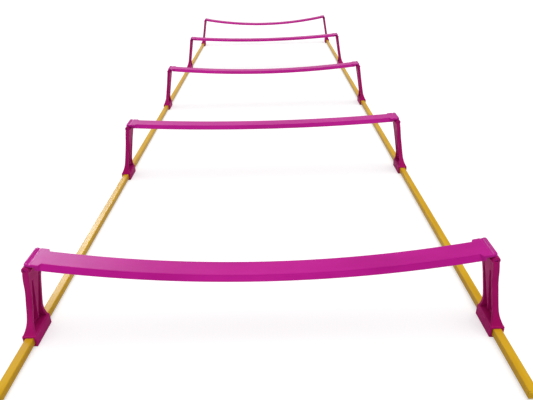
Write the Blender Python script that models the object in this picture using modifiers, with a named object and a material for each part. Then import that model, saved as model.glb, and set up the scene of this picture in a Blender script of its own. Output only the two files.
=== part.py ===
"""Raised agility ladder: five low hurdle rungs that stand on two side rails.

Units are metres. +X runs to the right along a rung, +Y away along the rails, +Z up. The sleeves of the
legs stand on the plane z = 0, and the origin is the middle of the ladder's footprint.

A rung is a moulded slat with a barrel at each end. Each barrel sits between the two knuckles of a leg,
on a moulded pin that runs along Y. At the foot of each leg is a square sleeve, and a rail runs through
the five sleeves of its side.
"""
import math

import bmesh
import bpy
from mathutils import Matrix, Vector

# Ladder. The slats of its rungs sag by unlike amounts: each angle, from the near rung to the far one, is
# how far the ends of that rung's slat tilt up.
END_TILTS = [math.radians(angle) for angle in (9.7, 3.5, 5.8, 4.4, 10.2)]
RUNG_SPACING = 0.450
HINGE_SPAN = 0.4922
RAIL_NEAR_TAIL = 0.090
RAIL_FAR_TAIL = 0.004

# Section of a slat, whose length follows from its hinges, its heads and its sag
SLAT_DEPTH = 0.0335
SLAT_HEIGHT = 0.0066
SLAT_FLANK_DRAW = 0.0039
SLAT_PLATE = 0.0026
SLAT_LIP = 0.0042
SLAT_TOP_ROUND = 0.0012
SLAT_FOOT_ROUND = 0.0005
SLAT_RIB_COUNT = 7
SLAT_RIB = 0.0014
SLAT_RIB_SETBACK = 0.0013

# Head at each end of the slat, a little narrower than its leg and stepped up to a plate beside its barrel
HEAD_LENGTH = 0.0175
HEAD_INSET = 0.0010
HEAD_SHOULDER = 0.0028
HEAD_SHOULDER_DEPTH = 0.0340
HEAD_STEP = 0.0056
HEAD_CORNER = 0.0030
HEAD_BEAD_RADIUS = 0.0016
HEAD_BEAD_SINK = 0.0006
HEAD_GROOVE_RADIUS = 0.0032
HEAD_GROOVE_DEPTH = 0.0006
HEAD_GROOVE_INSET = 0.0056

# Hinge between a head and its leg
HINGE_HEIGHT = 0.1005
HINGE_DROP = 0.0078
HINGE_END = 0.0022
KNUCKLE_RADIUS = 0.0042
KNUCKLE_LENGTH = 0.0060
PIN_RADIUS = 0.0015
PIN_INSET = 0.0008
STOP_REACH = 0.0010
STOP_HEIGHT = 0.0045

# Leg, whose widths run along Y and whose thickness runs along X
LEG_LEAN = math.radians(10.0)
LEG_WIDTH = 0.0365
LEG_WAIST = 0.0295
LEG_THICKNESS = 0.0068
LEG_NECK_START = 0.006
LEG_NECK_END = 0.034
LEG_FLARE_HEIGHT = 0.030
LEG_SIDE_FLARE_HEIGHT = 0.019
LEG_ROUND = 0.0006
LEG_SINK = 0.0012
FOOT_LEDGE = 0.0009

# Recess in the inner face of a leg: two grooves beside a wedge that points down
RECESS_DEPTH = 0.0050
RECESS_TOP = 0.018
RECESS_FLANGE = 0.0040
RECESS_FLOOR = 0.0012
GROOVE_TOP_WIDTH = 0.0030
WEDGE_TOP_WIDTH = 0.0150
WEDGE_TIP_HEIGHT = 0.007

# Sleeve at the foot of a leg
SLEEVE_LENGTH = 0.042
SLEEVE_WALL = 0.0024
SLEEVE_ROUND = 0.0009
SLEEVE_SIDE_GAP = 0.0007

# Rail, a square tube
RAIL_WIDTH = 0.0095
RAIL_HEIGHT = 0.0090
RAIL_WALL = 0.0013
RAIL_CORNER = 0.0011

# Plug in each end of a rail
PLUG_FLANGE = 0.0020
PLUG_DEPTH = 0.012
PLUG_ROUND = 0.0006

# Gaps, overrun of the cutters and fineness of the round shapes
GAP = 0.0003
OVERRUN = 0.010
WELD = 0.000002
FLAT_ANGLE = math.radians(0.1)
SLAT_BEND_STEPS = 12
KNUCKLE_SIDES = 16
PIN_SIDES = 10
CURVE_STEPS = 4
CORNER_STEPS = 3
ROUNDED_FROM = math.radians(60)
ROUND_PROFILE_SHARE = 0.5
SMOOTH_BELOW = math.radians(32)

# Derived sizes
RUNG_COUNT = len(END_TILTS)
HEAD_BEYOND_SLAT = HEAD_LENGTH - HINGE_END
HEAD_DEPTH = LEG_WIDTH - 2 * HEAD_INSET
BARREL_HALF = LEG_WIDTH / 2 - KNUCKLE_LENGTH - GAP
HINGE_CLEAR_RADIUS = KNUCKLE_RADIUS + GAP
SLAT_UNDERSIDE = HINGE_DROP - SLAT_HEIGHT
SLEEVE_BORE_WIDTH = RAIL_WIDTH + 2 * SLEEVE_SIDE_GAP
SLEEVE_BORE_HEIGHT = RAIL_HEIGHT + 2 * GAP
SLEEVE_WIDTH = SLEEVE_BORE_WIDTH + 2 * SLEEVE_WALL
SLEEVE_HEIGHT = SLEEVE_BORE_HEIGHT + 2 * SLEEVE_WALL
SLEEVE_TOP_DROP = HINGE_HEIGHT - SLEEVE_HEIGHT
LADDER_LENGTH = RAIL_NEAR_TAIL + SLEEVE_LENGTH + (RUNG_COUNT - 1) * RUNG_SPACING + RAIL_FAR_TAIL
SIDES = {"left": -1, "right": 1}

# Colour and roughness of each material
MATERIALS = {
    "magenta_plastic": ((0.505, 0.009, 0.268, 1.0), 0.30),
    "yellow_plastic": ((0.64, 0.365, 0.015, 1.0), 0.26),
}


def clear_scene():
    """Remove every object, so that the script can be run again in the same file."""
    for old in list(bpy.data.objects):
        bpy.data.objects.remove(old, do_unlink=True)


def new_collection(name):
    """Return an empty collection of this name in the scene."""
    collection = bpy.data.collections.get(name) or bpy.data.collections.new(name)
    if name not in bpy.context.scene.collection.children:
        bpy.context.scene.collection.children.link(collection)
    return collection


def new_material(name):
    """Return a Principled BSDF material with the values of the MATERIALS table."""
    colour, roughness = MATERIALS[name]
    material = bpy.data.materials.new(name)
    material.use_nodes = True
    shader = material.node_tree.nodes["Principled BSDF"]
    shader.inputs["Base Color"].default_value = colour
    shader.inputs["Roughness"].default_value = roughness
    material.diffuse_color = colour
    return material


def tool_object(name, data):
    """Put a mesh or curve in the cutters' collection, where it is shaped or cuts another piece."""
    tool = bpy.data.objects.new(name, data)
    tool.hide_render = True
    tool.display_type = "WIRE"
    cutters.objects.link(tool)
    return tool


def tidy(mesh, matrix=None):
    """Weld a mesh, merge its flat triangles, turn its faces outward and move it by a matrix."""
    work = bmesh.new()
    work.from_mesh(mesh)
    bmesh.ops.remove_doubles(work, verts=work.verts, dist=WELD)
    bmesh.ops.dissolve_limit(work, angle_limit=FLAT_ANGLE, verts=work.verts, edges=work.edges)
    if matrix is not None:
        bmesh.ops.transform(work, matrix=matrix, verts=work.verts)
    bmesh.ops.recalc_face_normals(work, faces=work.faces)
    work.to_mesh(mesh)
    work.free()


def evaluated_mesh(source):
    """Return a new mesh with the object's modifiers applied."""
    graph = bpy.context.evaluated_depsgraph_get()
    graph.update()
    return bpy.data.meshes.new_from_object(source.evaluated_get(graph))


def apply_modifiers(target):
    """Replace the object's mesh by its evaluated one."""
    mesh = evaluated_mesh(target)
    target.modifiers.clear()
    target.data = mesh


def outline_solid(name, outline, depth, plane):
    """Extrude a closed outline evenly to both sides of a plane: XY, XZ or YZ."""
    curve = bpy.data.curves.new(name, "CURVE")
    curve.dimensions = "2D"
    curve.fill_mode = "BOTH"
    curve.extrude = depth / 2
    spline = curve.splines.new("POLY")
    spline.points.add(len(outline) - 1)
    for point, (first, second) in zip(spline.points, outline):
        point.co = (first, second, 0, 1)
    spline.use_cyclic_u = True
    flat = tool_object(name, curve)
    mesh = evaluated_mesh(flat)
    bpy.data.objects.remove(flat, do_unlink=True)
    turn = {
        "XY": Matrix.Identity(4),
        "XZ": Matrix.Rotation(math.pi / 2, 4, "X"),
        "YZ": Matrix(((0, 0, 1, 0), (1, 0, 0, 0), (0, 1, 0, 0), (0, 0, 0, 1))),
    }[plane]
    tidy(mesh, turn)
    return tool_object(name, mesh)


def add_box(work, low, high):
    """Add a box between two corners to a bmesh."""
    low = Vector(low)
    high = Vector(high)
    size = high - low
    place = Matrix.Translation((low + high) / 2) @ Matrix.Diagonal((*size, 1))
    bmesh.ops.create_cube(work, size=1, matrix=place)


def add_rod(work, centre, radius, length, sides):
    """Add a cylinder that lies along Y to a bmesh, with a flat of its outline on each axis."""
    turn = Matrix.Rotation(math.pi / 2, 4, "X") @ Matrix.Rotation(math.pi / sides, 4, "Z")
    bmesh.ops.create_cone(work, cap_ends=True, segments=sides, radius1=radius, radius2=radius,
                          depth=length, matrix=Matrix.Translation(centre) @ turn)


def boxes(name, corner_pairs):
    """Return one tool object that holds a box for each pair of corners."""
    work = bmesh.new()
    for low, high in corner_pairs:
        add_box(work, low, high)
    mesh = bpy.data.meshes.new(name)
    work.to_mesh(mesh)
    work.free()
    return tool_object(name, mesh)


def rods(name, centres, radius, length, sides):
    """Return one tool object that holds a cylinder along Y at each centre."""
    work = bmesh.new()
    for centre in centres:
        add_rod(work, centre, radius, length, sides)
    mesh = bpy.data.meshes.new(name)
    work.to_mesh(mesh)
    work.free()
    return tool_object(name, mesh)


def combine(target, tool, operation):
    """Join, intersect or cut the target with a tool. Only a cutting tool stays in the file."""
    modifier = target.modifiers.new(tool.name, "BOOLEAN")
    modifier.object = tool
    modifier.operation = operation
    modifier.solver = "EXACT"
    apply_modifiers(target)
    if operation != "DIFFERENCE":
        bpy.data.objects.remove(tool, do_unlink=True)


def round_edges(target, width, segments):
    """Bevel every edge of the target that is a corner."""
    modifier = target.modifiers.new("round", "BEVEL")
    modifier.width = width
    modifier.segments = segments
    modifier.limit_method = "ANGLE"
    modifier.angle_limit = ROUNDED_FROM
    apply_modifiers(target)


def round_rim(mesh, height, width, segments):
    """Bevel the corners of a mesh that lie wholly at one height."""
    work = bmesh.new()
    work.from_mesh(mesh)
    rim = []
    for edge in work.edges:
        level = all(abs(vertex.co.z - height) < WELD for vertex in edge.verts)
        if level and edge.calc_face_angle() > ROUNDED_FROM:
            rim.append(edge)
    bmesh.ops.bevel(work, geom=rim, offset=width, segments=segments, profile=ROUND_PROFILE_SHARE,
                    affect="EDGES", clamp_overlap=True)
    work.to_mesh(mesh)
    work.free()


def four_quarters(quarter):
    """Mirror a quarter outline, given from its +Y end round to its +X end, into a closed outline."""
    top = [(-x, y) for x, y in reversed(quarter)] + quarter
    return top + [(x, -y) for x, y in reversed(top)]


def two_halves(half):
    """Mirror a half outline, given from top to bottom on the + side, into a closed outline."""
    return half + [(-x, y) for x, y in reversed(half)]


class Slat:
    """One rung's slat: a straight moulding that sags into an arc between its hinges."""

    def __init__(self, tilt):
        """Work out how long the slat is, so that its ends tilt this far and its hinges keep their span."""
        self.radius = (HINGE_SPAN / 2 - HEAD_BEYOND_SLAT * math.cos(tilt)) / math.sin(tilt)
        self.half = self.radius * tilt
        self.hinge = self.half + HEAD_BEYOND_SLAT

    def plan(self):
        """Plan of the slat: straight long edges that step out to a round-cornered head at each end."""
        narrow = SLAT_DEPTH / 2
        shoulder = HEAD_SHOULDER_DEPTH / 2
        wide = HEAD_DEPTH / 2
        end = self.half + HEAD_LENGTH
        quarter = []
        for step in range(CURVE_STEPS + 1):
            share = step / CURVE_STEPS
            swell = (1 - math.cos(math.pi * share)) / 2
            quarter.append((self.half + HEAD_SHOULDER * share, narrow + (shoulder - narrow) * swell))
        for step in range(CORNER_STEPS + 1):
            angle = math.pi / 2 * (1 - step / CORNER_STEPS)
            quarter.append((end - HEAD_CORNER + HEAD_CORNER * math.cos(angle),
                            wide - HEAD_CORNER + HEAD_CORNER * math.sin(angle)))
        return four_quarters(quarter)

    def draw_in(self, mesh):
        """Slope the long flanks of the slat inward towards its top, up to where its heads begin."""
        work = bmesh.new()
        work.from_mesh(mesh)
        for vertex in work.verts:
            beyond = min(1, max(0, (abs(vertex.co.x) - self.half) / HEAD_SHOULDER))
            share = (vertex.co.z - SLAT_UNDERSIDE) / SLAT_HEIGHT * (1 + math.cos(math.pi * beyond)) / 2
            vertex.co.y -= math.copysign(SLAT_FLANK_DRAW * share, vertex.co.y)
        bmesh.ops.connect_verts_nonplanar(work, angle_limit=FLAT_ANGLE, faces=work.faces)
        work.to_mesh(mesh)
        work.free()

    def setback(self):
        """Corners of the shallow room that sets the cross ribs back from the slat's two long lips."""
        across = SLAT_DEPTH / 2 - SLAT_LIP
        return ((-self.half, -across, SLAT_UNDERSIDE - OVERRUN),
                (self.half, across, SLAT_UNDERSIDE + SLAT_RIB_SETBACK))

    def pockets(self):
        """Corner pairs of the pockets between the cross ribs in the underside of the slat."""
        pocket_count = SLAT_RIB_COUNT + 1
        pitch = (2 * self.half - SLAT_RIB) / pocket_count
        across = SLAT_DEPTH / 2 - SLAT_LIP
        ceiling = HINGE_DROP - SLAT_PLATE
        pairs = []
        for index in range(pocket_count):
            low = -self.half + SLAT_RIB + index * pitch
            high = low + pitch - SLAT_RIB
            pairs.append(((low, -across, SLAT_UNDERSIDE - OVERRUN), (high, across, ceiling)))
        return pairs

    def knuckle_rooms(self):
        """Corner pairs of the four rooms that thin the heads to a plate over the knuckles of the legs."""
        pairs = []
        for end in (-1, 1):
            for face in (-1, 1):
                inner = end * (self.half + HEAD_STEP)
                outer = end * (self.hinge + HINGE_END + OVERRUN)
                near = face * BARREL_HALF
                far = face * (HEAD_DEPTH / 2 + OVERRUN)
                low = (min(inner, outer), min(near, far), SLAT_UNDERSIDE - OVERRUN)
                high = (max(inner, outer), max(near, far), HINGE_CLEAR_RADIUS)
                pairs.append((low, high))
        return pairs

    def both_ends(self, outward, height):
        """Centres, at each end of the slat, of a cylinder along Y at a distance outward of the hinge."""
        along = self.hinge + outward
        return [(-along, 0, height), (along, 0, height)]

    def bent(self, along, height):
        """Where a point of the straight slat goes, in X and Z, when the slat sags into its arc."""
        inside = max(-self.half, min(self.half, along))
        angle = inside / self.radius
        beyond = along - inside
        x = (self.radius - height) * math.sin(angle) + beyond * math.cos(angle)
        z = self.radius - (self.radius - height) * math.cos(angle) + beyond * math.sin(angle)
        return Vector((x, z))

    def rise(self):
        """How far the sag lifts the hinges above the middle of the slat."""
        return self.bent(self.hinge, 0).y

    def bend(self, mesh):
        """Cut a straight slat across at even steps and lay each step flat between two points of the arc."""
        step = 2 * self.half / SLAT_BEND_STEPS
        work = bmesh.new()
        work.from_mesh(mesh)
        for index in range(SLAT_BEND_STEPS + 1):
            place = (-self.half + index * step, 0, 0)
            everything = work.verts[:] + work.edges[:] + work.faces[:]
            bmesh.ops.bisect_plane(work, geom=everything, dist=WELD, plane_co=place, plane_no=(1, 0, 0))
        for vertex in work.verts:
            along, height = vertex.co.x, vertex.co.z
            if abs(along) < self.half:
                below = math.floor((along + self.half) / step)
                low = -self.half + below * step
                share = (along - low) / step
                bent = self.bent(low, height).lerp(self.bent(low + step, height), share)
            else:
                bent = self.bent(along, height)
            vertex.co.x, vertex.co.z = bent
        work.to_mesh(mesh)
        work.free()


def make_crossbar(slat):
    """Mesh of a slat, made straight with its barrels' axes at z = 0 and then sagged about its middle."""
    bar = outline_solid("crossbar_blank", slat.plan(), SLAT_HEIGHT, "XY")
    tidy(bar.data, Matrix.Translation((0, 0, HINGE_DROP - SLAT_HEIGHT / 2)))
    round_rim(bar.data, HINGE_DROP, SLAT_TOP_ROUND, CORNER_STEPS)
    round_rim(bar.data, SLAT_UNDERSIDE, SLAT_FOOT_ROUND, 1)
    slat.draw_in(bar.data)
    combine(bar, boxes("slat_setback_cutter", [slat.setback()]), "DIFFERENCE")
    combine(bar, boxes("slat_pocket_cutter", slat.pockets()), "DIFFERENCE")
    barrels = rods("barrels", slat.both_ends(0, 0), KNUCKLE_RADIUS, HEAD_SHOULDER_DEPTH, KNUCKLE_SIDES)
    combine(bar, barrels, "UNION")
    combine(bar, boxes("knuckle_room_cutter", slat.knuckle_rooms()), "DIFFERENCE")
    groove_centres = slat.both_ends(HINGE_END - HEAD_GROOVE_INSET,
                                    HINGE_DROP + HEAD_GROOVE_RADIUS - HEAD_GROOVE_DEPTH)
    grooves = rods("head_groove_cutter", groove_centres, HEAD_GROOVE_RADIUS,
                   HEAD_DEPTH + OVERRUN, KNUCKLE_SIDES)
    combine(bar, grooves, "DIFFERENCE")
    bead_centres = slat.both_ends(HINGE_END - HEAD_BEAD_RADIUS - GAP, HINGE_DROP - HEAD_BEAD_SINK)
    beads = rods("head_beads", bead_centres, HEAD_BEAD_RADIUS, HEAD_DEPTH - 2 * HEAD_CORNER, PIN_SIDES)
    combine(bar, beads, "UNION")
    holes = rods("barrel_hole_cutter", slat.both_ends(0, 0), PIN_RADIUS + GAP,
                 HEAD_DEPTH + OVERRUN, PIN_SIDES)
    combine(bar, holes, "DIFFERENCE")
    mesh = bar.data
    bpy.data.objects.remove(bar, do_unlink=True)
    slat.bend(mesh)
    return mesh


def leg_half_width(drop):
    """Half width of a leg along Y at a drop below the hinge: straight, a drawn-in waist, then a flare."""
    top = LEG_WIDTH / 2
    waist = LEG_WAIST / 2
    foot = SLEEVE_LENGTH / 2 - FOOT_LEDGE
    flare_start = SLEEVE_TOP_DROP - LEG_FLARE_HEIGHT
    neck = min(1, max(0, (drop - LEG_NECK_START) / (LEG_NECK_END - LEG_NECK_START)))
    flare = min(1, max(0, (drop - flare_start) / LEG_FLARE_HEIGHT))
    return top + (waist - top) * (1 - math.cos(math.pi * neck)) / 2 + (foot - waist) * flare ** 2


def even_drops(start, end, steps):
    """Drops from start to end, in even steps, both included."""
    return [start + (end - start) * index / steps for index in range(steps + 1)]


def leg_width_outline():
    """Outline of a leg seen along X, down into the top wall of its sleeve."""
    flare_start = SLEEVE_TOP_DROP - LEG_FLARE_HEIGHT
    drops = [0] + even_drops(LEG_NECK_START, LEG_NECK_END, CURVE_STEPS)
    drops += even_drops(flare_start, SLEEVE_TOP_DROP + LEG_SINK, CURVE_STEPS)
    return two_halves([(leg_half_width(drop), -drop) for drop in drops])


def leg_thickness_outline():
    """Outline of an upright leg seen along Y, which flares to the width of its sleeve."""
    flare_start = SLEEVE_TOP_DROP - LEG_SIDE_FLARE_HEIGHT
    thin = LEG_THICKNESS / 2
    foot = SLEEVE_WIDTH / 2 - FOOT_LEDGE
    half = [(thin, 0)]
    for drop in even_drops(flare_start, SLEEVE_TOP_DROP + LEG_SINK, CURVE_STEPS):
        share = min(1, (drop - flare_start) / LEG_SIDE_FLARE_HEIGHT)
        half.append((thin + (foot - thin) * share ** 2, -drop))
    return two_halves(half)


def recess_outline():
    """Outline of the recess in a leg's inner face: a groove each side of a wedge that points down."""
    floor = SLEEVE_TOP_DROP - RECESS_FLOOR
    flare_start = SLEEVE_TOP_DROP - LEG_FLARE_HEIGHT
    half = [(0, -(floor - WEDGE_TIP_HEIGHT)), (WEDGE_TOP_WIDTH / 2, -RECESS_TOP)]
    half.append((WEDGE_TOP_WIDTH / 2 + GROOVE_TOP_WIDTH, -RECESS_TOP))
    for drop in even_drops(flare_start, floor, CURVE_STEPS):
        half.append((leg_half_width(drop) - RECESS_FLANGE, -drop))
    return half + [(-x, y) for x, y in reversed(half[1:])]


def stop_outline():
    """Outline, seen along Y, of the shoulder that meets the underside of the slat's head."""
    top = SLAT_UNDERSIDE - GAP
    reach = HINGE_CLEAR_RADIUS + STOP_REACH
    return [(0, top), (-reach, top), (-LEG_THICKNESS / 2, top - STOP_HEIGHT), (0, top - STOP_HEIGHT)]


def sleeve_offset():
    """How far outward of its hinge line a leg's lean carries the middle of its sleeve."""
    return SLEEVE_TOP_DROP * math.tan(LEG_LEAN)


def sleeve_block():
    """The sleeve before its bore is cut, upright on the ground below the hinge line."""
    low = (sleeve_offset() - SLEEVE_WIDTH / 2, -SLEEVE_LENGTH / 2, -HINGE_HEIGHT)
    high = (sleeve_offset() + SLEEVE_WIDTH / 2, SLEEVE_LENGTH / 2, SLEEVE_HEIGHT - HINGE_HEIGHT)
    block = boxes("sleeve_block", [(low, high)])
    round_edges(block, SLEEVE_ROUND, 2)
    return block


def sleeve_bore():
    """The cutter that opens a sleeve from end to end for its rail."""
    floor = SLEEVE_WALL - HINGE_HEIGHT
    low = (sleeve_offset() - SLEEVE_BORE_WIDTH / 2, -SLEEVE_LENGTH / 2 - OVERRUN, floor)
    high = (sleeve_offset() + SLEEVE_BORE_WIDTH / 2, SLEEVE_LENGTH / 2 + OVERRUN, floor + SLEEVE_BORE_HEIGHT)
    return boxes("sleeve_bore_cutter", [(low, high)])


def make_leg():
    """Mesh of a right leg, with the hinge line through its origin and its inner face towards -X."""
    leg = outline_solid("leg_blank", leg_width_outline(), SLEEVE_WIDTH + OVERRUN, "YZ")
    thickness = outline_solid("leg_thickness", leg_thickness_outline(), SLEEVE_LENGTH + OVERRUN, "XZ")
    combine(leg, thickness, "INTERSECT")
    round_edges(leg, LEG_ROUND, 1)
    recess_low = -SLEEVE_WIDTH / 2 - OVERRUN
    recess_high = -LEG_THICKNESS / 2 + RECESS_DEPTH
    recess = outline_solid("leg_recess_cutter", recess_outline(), recess_high - recess_low, "YZ")
    recess.location.x = (recess_low + recess_high) / 2
    combine(leg, recess, "DIFFERENCE")
    slope = math.tan(LEG_LEAN)
    lean = Matrix(((1, 0, -slope, 0), (0, 1, 0, 0), (0, 0, 1, 0), (0, 0, 0, 1)))
    tidy(leg.data, lean)
    combine(leg, sleeve_block(), "UNION")
    knuckles = rods("knuckles", [(0, 0, 0)], KNUCKLE_RADIUS, LEG_WIDTH, KNUCKLE_SIDES)
    combine(leg, knuckles, "UNION")
    stop = outline_solid("leg_stop", stop_outline(), LEG_WIDTH - 4 * LEG_ROUND, "XZ")
    stop.rotation_euler.y = -max(END_TILTS)
    combine(leg, stop, "UNION")
    room = rods("barrel_room_cutter", [(0, 0, 0)], HINGE_CLEAR_RADIUS,
                LEG_WIDTH - 2 * KNUCKLE_LENGTH, KNUCKLE_SIDES)
    combine(leg, room, "DIFFERENCE")
    hole = rods("leg_hole_cutter", [(0, 0, 0)], PIN_RADIUS + GAP, LEG_WIDTH + OVERRUN, PIN_SIDES)
    combine(leg, hole, "DIFFERENCE")
    combine(leg, sleeve_bore(), "DIFFERENCE")
    mesh = leg.data
    bpy.data.objects.remove(leg, do_unlink=True)
    return mesh


def make_pin():
    """Mesh of a hinge pin, with its middle at the origin."""
    pin = rods("pin_blank", [(0, 0, 0)], PIN_RADIUS, LEG_WIDTH - 2 * PIN_INSET, PIN_SIDES)
    mesh = pin.data
    bpy.data.objects.remove(pin, do_unlink=True)
    return mesh


def round_rectangle(width, height, corner):
    """Outline of a rectangle with round corners, about its own middle."""
    quarter = []
    for step in range(CORNER_STEPS + 1):
        angle = math.pi / 2 * (1 - step / CORNER_STEPS)
        quarter.append((width / 2 - corner + corner * math.cos(angle),
                        height / 2 - corner + corner * math.sin(angle)))
    return four_quarters(quarter)


def make_rail(length):
    """Mesh of a rail of this length along Y, with its middle at the origin."""
    rail = outline_solid("rail_blank", round_rectangle(RAIL_WIDTH, RAIL_HEIGHT, RAIL_CORNER), length, "XZ")
    low = (-RAIL_WIDTH / 2 + RAIL_WALL, -length / 2 - OVERRUN, -RAIL_HEIGHT / 2 + RAIL_WALL)
    high = (RAIL_WIDTH / 2 - RAIL_WALL, length / 2 + OVERRUN, RAIL_HEIGHT / 2 - RAIL_WALL)
    combine(rail, boxes("rail_bore_cutter", [(low, high)]), "DIFFERENCE")
    mesh = rail.data
    bpy.data.objects.remove(rail, do_unlink=True)
    return mesh


def make_plug():
    """Mesh of a near plug: its flange's outer face is at y = 0 and its shank runs towards +Y."""
    flange_outline = round_rectangle(RAIL_WIDTH, RAIL_HEIGHT, RAIL_CORNER)
    plug = outline_solid("plug_blank", flange_outline, PLUG_FLANGE, "XZ")
    tidy(plug.data, Matrix.Translation((0, PLUG_FLANGE / 2, 0)))
    round_edges(plug, PLUG_ROUND, 1)
    across = RAIL_WIDTH / 2 - RAIL_WALL - GAP
    up = RAIL_HEIGHT / 2 - RAIL_WALL - GAP
    shank = boxes("plug_shank", [((-across, PLUG_FLANGE / 2, -up), (across, PLUG_FLANGE + PLUG_DEPTH, up))])
    combine(plug, shank, "UNION")
    mesh = plug.data
    bpy.data.objects.remove(plug, do_unlink=True)
    return mesh


def smooth(mesh):
    """Shade the round stretches smooth and keep the corners sharp."""
    mesh.shade_smooth()
    mesh.set_sharp_from_angle(angle=SMOOTH_BELOW)


def place(name, mesh, material, location, turn=0):
    """Add a named piece with its own material, turned about Z, to the ladder's collection."""
    piece = bpy.data.objects.new(name, mesh)
    piece.location = location
    piece.rotation_euler.z = turn
    if not mesh.materials:
        mesh.materials.append(material)
    ladder.objects.link(piece)
    return piece


def rung_y(index):
    """Y of the middle of a rung, counted from zero at the near end."""
    first = -LADDER_LENGTH / 2 + RAIL_NEAR_TAIL + SLEEVE_LENGTH / 2
    return first + index * RUNG_SPACING


def build_rungs(materials):
    """Place each rung: its slat, and on each side a leg and a hinge pin."""
    leg = make_leg()
    pin = make_pin()
    smooth(leg)
    smooth(pin)
    for index, tilt in enumerate(END_TILTS):
        number = index + 1
        y = rung_y(index)
        slat = Slat(tilt)
        crossbar = make_crossbar(slat)
        smooth(crossbar)
        middle = (0, y, HINGE_HEIGHT - slat.rise())
        place(f"crossbar_{number}", crossbar, materials["magenta_plastic"], middle)
        for side, sign in SIDES.items():
            hinge = (sign * HINGE_SPAN / 2, y, HINGE_HEIGHT)
            turn = 0 if sign > 0 else math.pi
            place(f"{side}_leg_{number}", leg, materials["magenta_plastic"], hinge, turn)
            place(f"{side}_hinge_pin_{number}", pin, materials["magenta_plastic"], hinge)


def build_rails(materials):
    """Place the rail of each side through its sleeves, with a plug in each end."""
    length = LADDER_LENGTH - 2 * (PLUG_FLANGE + GAP)
    rail = make_rail(length)
    plug = make_plug()
    for mesh in (rail, plug):
        smooth(mesh)
    height = SLEEVE_WALL + GAP + RAIL_HEIGHT / 2
    for side, sign in SIDES.items():
        x = sign * (HINGE_SPAN / 2 + sleeve_offset())
        place(f"{side}_rail", rail, materials["yellow_plastic"], (x, 0, height))
        near = (x, -LADDER_LENGTH / 2, height)
        far = (x, LADDER_LENGTH / 2, height)
        place(f"{side}_rail_near_plug", plug, materials["yellow_plastic"], near)
        place(f"{side}_rail_far_plug", plug, materials["yellow_plastic"], far, math.pi)


clear_scene()
ladder = new_collection("agility_ladder")
cutters = new_collection("cutters")
finishes = {name: new_material(name) for name in MATERIALS}
build_rungs(finishes)
build_rails(finishes)
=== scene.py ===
"""Dressed model of the raised agility ladder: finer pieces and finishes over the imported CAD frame.

Metres, in the frame's own axes: +X to the right along a rung, +Y away along the rails, +Z up.
"""
import math

import bmesh
import bpy
from mathutils import Matrix, Vector


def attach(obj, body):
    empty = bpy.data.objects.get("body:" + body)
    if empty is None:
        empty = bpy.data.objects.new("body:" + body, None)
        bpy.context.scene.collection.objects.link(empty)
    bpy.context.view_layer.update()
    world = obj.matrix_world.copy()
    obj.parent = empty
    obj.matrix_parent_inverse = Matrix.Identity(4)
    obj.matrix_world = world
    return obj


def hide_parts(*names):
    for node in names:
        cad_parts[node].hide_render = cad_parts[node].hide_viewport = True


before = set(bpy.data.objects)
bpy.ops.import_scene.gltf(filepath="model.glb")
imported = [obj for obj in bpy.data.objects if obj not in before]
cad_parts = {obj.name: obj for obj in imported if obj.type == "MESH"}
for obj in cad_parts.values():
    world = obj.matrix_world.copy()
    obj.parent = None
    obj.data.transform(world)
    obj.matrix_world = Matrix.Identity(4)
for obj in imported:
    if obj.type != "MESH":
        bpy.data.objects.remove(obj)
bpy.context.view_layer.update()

# Ladder, as in the CAD. Each rung's slat has its own end tilt, from the near rung to the far one.
END_TILTS = [math.radians(angle) for angle in (9.7, 3.5, 5.8, 4.4, 10.2)]
RUNG_SPACING = 0.450
HINGE_SPAN = 0.4922
HINGE_HEIGHT = 0.1005
RAIL_NEAR_TAIL = 0.090
RAIL_FAR_TAIL = 0.004
ROOT_RUNG = 3
SIDES = {"left": -1, "right": 1}
GAP = 0.0003

# Slat. Before it sags, its top lies above the hinge line by HINGE_DROP.
HINGE_DROP = 0.0078
SLAT_DEPTH = 0.0335
SLAT_HEIGHT = 0.0066
SLAT_FLANK_DRAW = 0.0039
SLAT_PLATE = 0.0026
SLAT_LIP = 0.0042
SLAT_RIB = 0.0014
SLAT_RIB_SETBACK = 0.0013
SLAT_RIB_COUNT = 7
SLAT_TOP_ROUND = 0.0011
SLAT_FOOT_ROUND = 0.0005
CHANNEL_CHAMFER = 0.0003

# Head at each end of the slat
HEAD_LENGTH = 0.0175
HEAD_INSET = 0.0010
HEAD_SHOULDER = 0.0028
HEAD_SHOULDER_DEPTH = 0.0340
HEAD_STEP = 0.0056
HEAD_CORNER = 0.0030
HEAD_BEAD_RADIUS = 0.0016
HEAD_BEAD_SINK = 0.0007
HEAD_BEAD_HALF = 0.0142
HEAD_GROOVE_RADIUS = 0.0032
HEAD_GROOVE_DEPTH = 0.0006
HEAD_GROOVE_INSET = 0.0056

# Hinge. A rim is how far it reaches, then where its middle point lies along the rod and in from its side.
HINGE_END = 0.0022
KNUCKLE_RADIUS = 0.0042
KNUCKLE_LENGTH = 0.0060
KNUCKLE_RIM = (0.0005, 0.00015, 0.00015)
BARREL_RIM = (0.0004, 0.00012, 0.00012)
PIN_RADIUS = 0.0015
PIN_INSET = 0.0008
PIN_RIM = (0.0004, 0.0001, 0.0002)

# Leg, whose widths run along Y and whose thickness runs along X
LEG_LEAN = math.radians(10.0)
LEG_WIDTH = 0.0365
LEG_WAIST = 0.0295
LEG_THICKNESS = 0.0068
LEG_NECK_START = 0.006
LEG_NECK_END = 0.034
LEG_FLARE_HEIGHT = 0.030
LEG_SIDE_FLARE_HEIGHT = 0.019
LEG_CORNER = 0.0008
LEG_SINK = 0.0011
FOOT_LEDGE = 0.0009

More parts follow.
